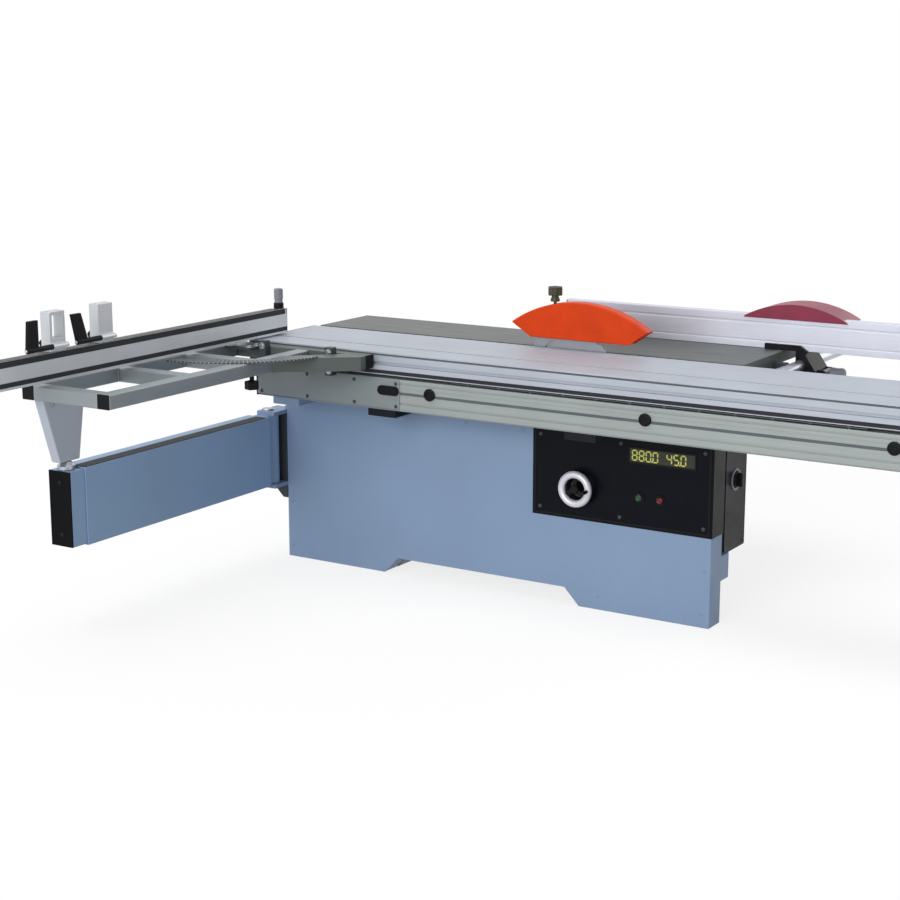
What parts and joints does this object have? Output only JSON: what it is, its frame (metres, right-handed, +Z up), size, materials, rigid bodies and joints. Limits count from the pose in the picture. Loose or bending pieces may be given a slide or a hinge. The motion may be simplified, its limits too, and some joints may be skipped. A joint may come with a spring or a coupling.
{
  "type": "sliding table saw",
  "caption": "Sliding table saw: blue-grey cabinet, long aluminium sliding table, crosscut outrigger with telescopic swing arm, rip fence, orange-red blade guard.",
  "frame": {"origin": "On the floor at the middle of the four floor-anchor holes in the cabinet floor.", "axes": "+X along the carriage travel towards the operator end, +Y across the machine towards the rip-fence side, +Z up."},
  "size_m": [3.329, 2.8016, 1.11],
  "materials": {
    "cabinet_paint": "satin blue-grey powder coat",
    "panel_black": "satin black powder coat",
    "dark_paint": "satin dark grey paint",
    "aluminium": "natural anodised extrusion",
    "cast_iron": "ground table face, painted underside",
    "bright_steel": "ground bright steel",
    "guard_orange": "moulded orange-red plastic",
    "cover_maroon": "moulded dark red plastic",
    "black_plastic": "moulded black plastic",
    "post_grey": "satin grey paint",
    "belt_rubber": "ribbed drive belt",
    "readout_glass": "yellow-green display window"
  },
  "bodies": {
    "base": {"front_apron": "cabinet_paint", "main_cabinet": "cabinet_paint", "dust_port": "black_plastic", "control_box": "panel_black", "readout_display": "readout_glass", "rail_brackets": "dark_paint", "slide_rail": "aluminium", "rail_end_caps": "black_plastic", "rail_plugs": "black_plastic", "saw_table": "cast_iron", "extension_table": "cast_iron", "extension_braces": "dark_paint", "guide_bar": "bright_steel", "bar_brackets": "dark_paint", "trunnion_blocks": "cast_iron", "arm_bracket": "dark_paint", "arm_pivot_pin": "bright_steel"},
    "door": {"rear_door": "cabinet_paint"},
    "start": {"start_button": "bright_steel"},
    "stop": {"stop_button": "black_plastic"},
    "isolator": {"isolator_switch": "black_plastic"},
    "lift_wheel": {"lift_handwheel": "aluminium"},
    "tilt_wheel": {"tilt_handwheel": "aluminium"},
    "cage": {"roller_cage": "bright_steel"},
    "carriage": {"sliding_table": "aluminium", "slide_end_caps": "black_plastic"},
    "rip_head": {"fence_head": "dark_paint", "fence_head_cover": "cover_maroon"},
    "rip_rail": {"rip_profile": "aluminium"},
    "rip_lever": {"fence_lever": "post_grey"},
    "tilt_unit": {"tilt_frame": "dark_paint", "guide_rods": "bright_steel", "scoring_arm": "cast_iron"},
    "lift_unit": {"arbor_carriage": "cast_iron", "motor": "cabinet_paint", "drive_belt": "belt_rubber", "riving_knife": "bright_steel"},
    "motor_shaft": {"motor_pulley": "bright_steel"},
    "arbor": {"saw_arbor": "bright_steel", "saw_blade": "bright_steel", "blade_flange": "bright_steel"},
    "guard": {"blade_guard": "guard_orange"},
    "guard_screw": {"guard_knob": "black_plastic"},
    "scorer": {"scoring_blade": "bright_steel"},
    "swing_arm": {"arm_outer": "cabinet_paint"},
    "arm_slider": {"arm_inner": "cabinet_paint", "arm_end_cap": "black_plastic"},
    "outrigger": {"outrigger_frame": "aluminium", "outrigger_clamps": "dark_paint", "support_post": "post_grey", "mitre_quadrant": "aluminium"},
    "lock_screw": {"outrigger_knob": "black_plastic"},
    "swivel_foot": {"post_foot": "bright_steel"},
    "fence": {"crosscut_fence": "aluminium", "fence_post": "bright_steel"},
    "fence_slider": {"fence_extension": "aluminium"},
    "stop_a": {"stop_a_block": "aluminium"},
    "flip_a": {"stop_a_finger": "black_plastic"},
    "stop_b": {"stop_b_block": "aluminium"},
    "flip_b": {"stop_b_finger": "black_plastic"}
  },
  "joints": [
    {"name": "carriage_slide", "type": "slide", "parent": "base", "child": "carriage", "axis": [1, 0, 0], "range_m": [-1.4, 1.4]},
    {"name": "cage_roll", "type": "slide", "parent": "base", "child": "cage", "axis": [1, 0, 0], "range_m": [-0.75, 0.75]},
    {"name": "outrigger_shift", "type": "slide", "parent": "carriage", "child": "outrigger", "axis": [1, 0, 0], "range_m": [0, 1.2]},
    {"name": "outrigger_lock_turn", "type": "hinge", "parent": "outrigger", "child": "lock_screw", "pos_m": [-0.617, -0.906, 0.796], "axis": [0, 0, 1], "continuous": true},
    {"name": "foot_swivel", "type": "hinge", "parent": "outrigger", "child": "swivel_foot", "pos_m": [-0.942, -1.5, 0.576], "axis": [0, 0, 1], "continuous": true},
    {"name": "fence_mitre", "type": "hinge", "parent": "outrigger", "child": "fence", "pos_m": [-0.88, -0.64, 0.877], "axis": [0, 0, 1], "range_deg": [-45, 45]},
    {"name": "fence_extend", "type": "slide", "parent": "fence", "child": "fence_slider", "axis": [0, -1, 0], "range_m": [0, 0.45]},
    {"name": "stop_a_slide", "type": "slide", "parent": "fence", "child": "stop_a", "axis": [0, 1, 0], "range_m": [-0.03, 0.7]},
    {"name": "stop_a_flip", "type": "hinge", "parent": "stop_a", "child": "flip_a", "pos_m": [-0.85, -1.505, 1], "axis": [0, 1, 0], "range_deg": [0, 180]},
    {"name": "stop_b_slide", "type": "slide", "parent": "fence", "child": "stop_b", "axis": [0, 1, 0], "range_m": [-0.2, 0.03]},
    {"name": "stop_b_flip", "type": "hinge", "parent": "stop_b", "child": "flip_b", "pos_m": [-0.85, -1.73, 1], "axis": [0, 1, 0], "range_deg": [0, 180]},
    {"name": "arm_swing", "type": "hinge", "parent": "base", "child": "swing_arm", "pos_m": [-0.942, -0.4, 0.432], "axis": [0, 0, 1], "range_deg": [-52, 52]},
    {"name": "arm_extend", "type": "slide", "parent": "swing_arm", "child": "arm_slider", "axis": [0, -1, 0], "range_m": [0, 0.8]},
    {"name": "rip_slide", "type": "slide", "parent": "base", "child": "rip_head", "axis": [0, 1, 0], "range_m": [-0.35, 0.33]},
    {"name": "rip_rail_slide", "type": "slide", "parent": "rip_head", "child": "rip_rail", "axis": [1, 0, 0], "range_m": [-0.35, 0.1]},
    {"name": "rip_lever_turn", "type": "hinge", "parent": "rip_head", "child": "rip_lever", "pos_m": [1.0245, 0.317, 0.802], "axis": [0, 1, 0], "range_deg": [0, 40]},
    {"name": "blade_tilt", "type": "hinge", "parent": "base", "child": "tilt_unit", "pos_m": [0.25, -0.13, 0.88], "axis": [-1, 0, 0], "range_deg": [0, 45]},
    {"name": "tilt_wheel_turn", "type": "hinge", "parent": "base", "child": "tilt_wheel", "pos_m": [0.62, 0.1, 0.45], "axis": [1, 0, 0], "range_deg": [-1, 361]},
    {"name": "blade_lift", "type": "slide", "parent": "tilt_unit", "child": "lift_unit", "axis": [0, 0, 1], "range_m": [-0.064, 0.0175]},
    {"name": "lift_wheel_turn", "type": "hinge", "parent": "base", "child": "lift_wheel", "pos_m": [0.388, -0.353, 0.435], "axis": [0, -1, 0], "range_deg": [-360, 360]},
    {"name": "arbor_spin", "type": "hinge", "parent": "lift_unit", "child": "arbor", "pos_m": [0.25, -0.13, 0.7825], "axis": [0, -1, 0], "continuous": true},
    {"name": "motor_spin", "type": "hinge", "parent": "lift_unit", "child": "motor_shaft", "pos_m": [0.11, 0.12, 0.6405], "axis": [0, -1, 0], "continuous": true},
    {"name": "guard_height", "type": "slide", "parent": "lift_unit", "child": "guard", "axis": [0, 0, 1], "range_m": [-0.0175, 0.064]},
    {"name": "guard_knob_turn", "type": "hinge", "parent": "guard", "child": "guard_screw", "pos_m": [0.16, -0.13, 1.06], "axis": [0, 0, 1], "continuous": true},
    {"name": "scoring_spin", "type": "hinge", "parent": "tilt_unit", "child": "scorer", "pos_m": [0.4815, -0.13, 0.822], "axis": [0, -1, 0], "continuous": true},
    {"name": "start_press", "type": "slide", "parent": "base", "child": "start", "axis": [0, 1, 0], "range_m": [0, 0.004], "stiffness_N_per_m": 400},
    {"name": "stop_press", "type": "slide", "parent": "base", "child": "stop", "axis": [0, 1, 0], "range_m": [0, 0.004], "stiffness_N_per_m": 400},
    {"name": "isolator_turn", "type": "hinge", "parent": "base", "child": "isolator", "pos_m": [0.893, -0.161, 0.488], "axis": [1, 0, 0], "range_deg": [0, 90]},
    {"name": "door_swing", "type": "hinge", "parent": "base", "child": "door", "pos_m": [-0.618, 0.3563, 0.355], "axis": [0, 0, 1], "range_deg": [0, 100]}
  ],
  "couplings": [
    {"joint": "cage_roll", "follows": "carriage_slide", "ratio": 0.5},
    {"joint": "arm_swing", "follows": "carriage_slide", "rad_per_m": 0.63},
    {"joint": "tilt_wheel_turn", "follows": "blade_tilt", "ratio": 8},
    {"joint": "lift_wheel_turn", "follows": "blade_lift", "rad_per_m": 90},
    {"joint": "guard_height", "follows": "blade_lift", "ratio": -1},
    {"joint": "motor_spin", "follows": "arbor_spin", "ratio": 0.77778}
  ]
}
